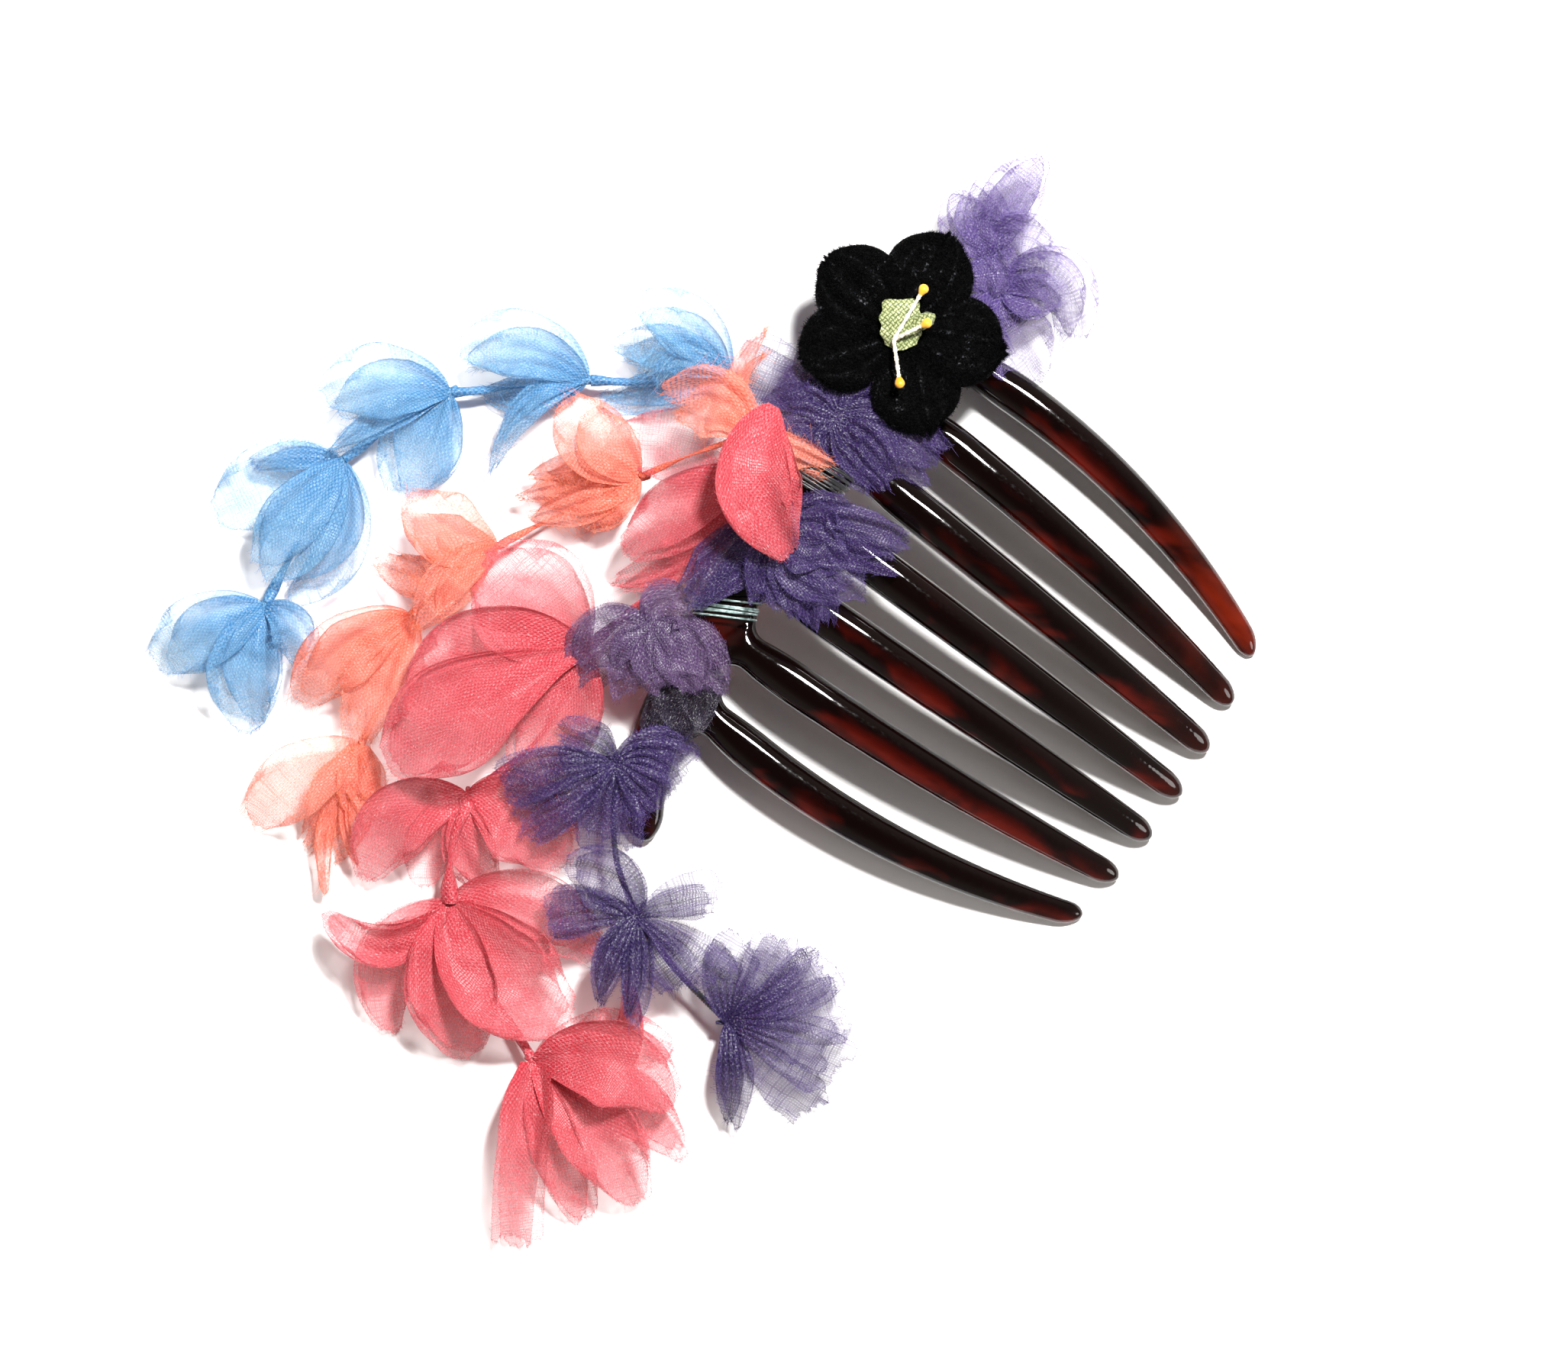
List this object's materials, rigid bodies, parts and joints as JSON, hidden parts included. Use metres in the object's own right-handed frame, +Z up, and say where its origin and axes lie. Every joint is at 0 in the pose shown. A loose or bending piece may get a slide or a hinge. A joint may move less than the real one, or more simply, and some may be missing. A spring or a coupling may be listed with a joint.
{
  "type": "decorative hair comb",
  "caption": "Tortoiseshell side comb whose spine carries wired strands of organza blossoms and a black velvet flower, bound on with thread.",
  "frame": {"origin": "on the surface that the comb lies on, below the middle of its bounding box", "axes": "+Z up out of the surface, -Y the way the teeth point, +X along the spine towards the velvet flower"},
  "size_m": [0.1904, 0.1546, 0.0264],
  "materials": {
    "tortoiseshell_plastic": "moulded translucent plastic, near-black with deep red-brown mottling and amber tips, polished",
    "silver_teal_thread": "shiny silvery teal sewing thread, wound",
    "dark_thread": "dark sewing thread, wound",
    "black_velvet": "black velvet with a short pile and cut edges",
    "green_weave": "pale olive woven ribbon, satin sheen",
    "stamen_thread": "off-white starched thread with a golden yellow head",
    "lilac_organza": "sheer lilac organza, raw edges",
    "plum_organza": "sheer plum organza, raw edges",
    "violet_organza": "violet organza, raw edges",
    "dark_organza": "very dark sheer organza",
    "blue_organza": "sky blue organza, raw edges",
    "coral_crepe": "coral crepe organza, raw edges",
    "pink_organza": "rose pink organza, raw edges",
    "black_wrapped_wire": "thin wire wrapped in black thread"
  },
  "bodies": {
    "comb_base": {"comb": "tortoiseshell_plastic", "thread_wrap_teal": "silver_teal_thread", "thread_wrap_dark": "dark_thread", "thread_wrap_black": "dark_thread", "thread_wrap_silver": "silver_teal_thread", "thread_wrap_end": "silver_teal_thread", "velvet_petal_1": "black_velvet", "velvet_petal_2": "black_velvet", "velvet_petal_3": "black_velvet", "velvet_petal_4": "black_velvet", "velvet_petal_5": "black_velvet", "green_centre": "green_weave", "stamen_1": "stamen_thread", "stamen_2": "stamen_thread", "stamen_3": "stamen_thread", "violet_stem_1": "black_wrapped_wire", "violet_stem_2": "black_wrapped_wire", "flower_stem": "black_wrapped_wire", "violet_cluster_2": "violet_organza", "violet_cluster_1": "violet_organza", "plum_blossom": "plum_organza", "violet_blossom_1": "violet_organza", "dark_organza_cuff": "dark_organza", "lilac_blossom_1": "lilac_organza", "lilac_blossom_2": "lilac_organza", "blue_stem_1": "blue_organza", "blue_stem_2": "blue_organza", "blue_blossom_1": "blue_organza", "coral_stem_1": "coral_crepe", "coral_stem_2": "coral_crepe", "coral_stem_3": "coral_crepe", "coral_stem_4": "coral_crepe", "coral_stem_5": "coral_crepe", "coral_blossom_1": "coral_crepe", "coral_blossom_2": "coral_crepe", "coral_blossom_3": "coral_crepe", "coral_blossom_4": "coral_crepe", "coral_blossom_5": "coral_crepe", "pink_stem_1": "pink_organza", "pink_stem_2": "pink_organza", "pink_stem_3": "pink_organza", "pink_stem_4": "pink_organza", "pink_cup_petal": "pink_organza", "pink_blossom_1": "pink_organza", "pink_blossom_2": "pink_organza", "pink_blossom_3": "pink_organza"},
    "blue_tip_2": {"blue_blossom_2": "blue_organza", "blue_stem_3": "blue_organza"},
    "blue_tip_3": {"blue_blossom_3": "blue_organza", "blue_stem_4": "blue_organza"},
    "blue_tip_4": {"blue_blossom_4": "blue_organza", "blue_stem_5": "blue_organza"},
    "blue_tip_5": {"blue_blossom_5": "blue_organza"},
    "pink_tip_4": {"pink_blossom_4": "pink_organza", "pink_stem_5": "pink_organza"},
    "pink_tip_5": {"pink_blossom_5": "pink_organza"},
    "violet_tip_2": {"violet_blossom_2": "violet_organza", "violet_stem_3": "black_wrapped_wire"},
    "violet_tip_3": {"violet_blossom_3": "violet_organza"}
  },
  "joints": [
    {"name": "blue_wire_bend_2", "type": "hinge", "parent": "comb_base", "child": "blue_tip_2", "pos_m": [0.02364, 0.03901, 0.00475], "axis": [0, 0, 1], "range_deg": [-12, 1]},
    {"name": "blue_wire_bend_3", "type": "hinge", "parent": "blue_tip_2", "child": "blue_tip_3", "pos_m": [0.00894, 0.05571, 0.00475], "axis": [0, 0, 1], "range_deg": [-12, 1]},
    {"name": "blue_wire_bend_4", "type": "hinge", "parent": "blue_tip_3", "child": "blue_tip_4", "pos_m": [-0.00996, 0.06311, 0.00475], "axis": [0, 0, 1], "range_deg": [-12, 1]},
    {"name": "blue_wire_bend_5", "type": "hinge", "parent": "blue_tip_4", "child": "blue_tip_5", "pos_m": [-0.03606, 0.05941, 0.00475], "axis": [0, 0, 1], "range_deg": [-12, 1]},
    {"name": "pink_wire_bend_4", "type": "hinge", "parent": "comb_base", "child": "pink_tip_4", "pos_m": [-0.05706, 0.00751, 0.00575], "axis": [0, 0, 1], "range_deg": [-10, 10]},
    {"name": "pink_wire_bend_5", "type": "hinge", "parent": "pink_tip_4", "child": "pink_tip_5", "pos_m": [-0.06956, -0.01849, 0.00475], "axis": [0, 0, 1], "range_deg": [-12, 8]},
    {"name": "violet_wire_bend_2", "type": "hinge", "parent": "comb_base", "child": "violet_tip_2", "pos_m": [-0.04076, -0.01779, 0.01175], "axis": [0, 0, 1], "range_deg": [-12, 12]},
    {"name": "violet_wire_bend_3", "type": "hinge", "parent": "violet_tip_2", "child": "violet_tip_3", "pos_m": [-0.04616, -0.03959, 0.00575], "axis": [0, 0, 1], "range_deg": [-12, 12]}
  ]
}
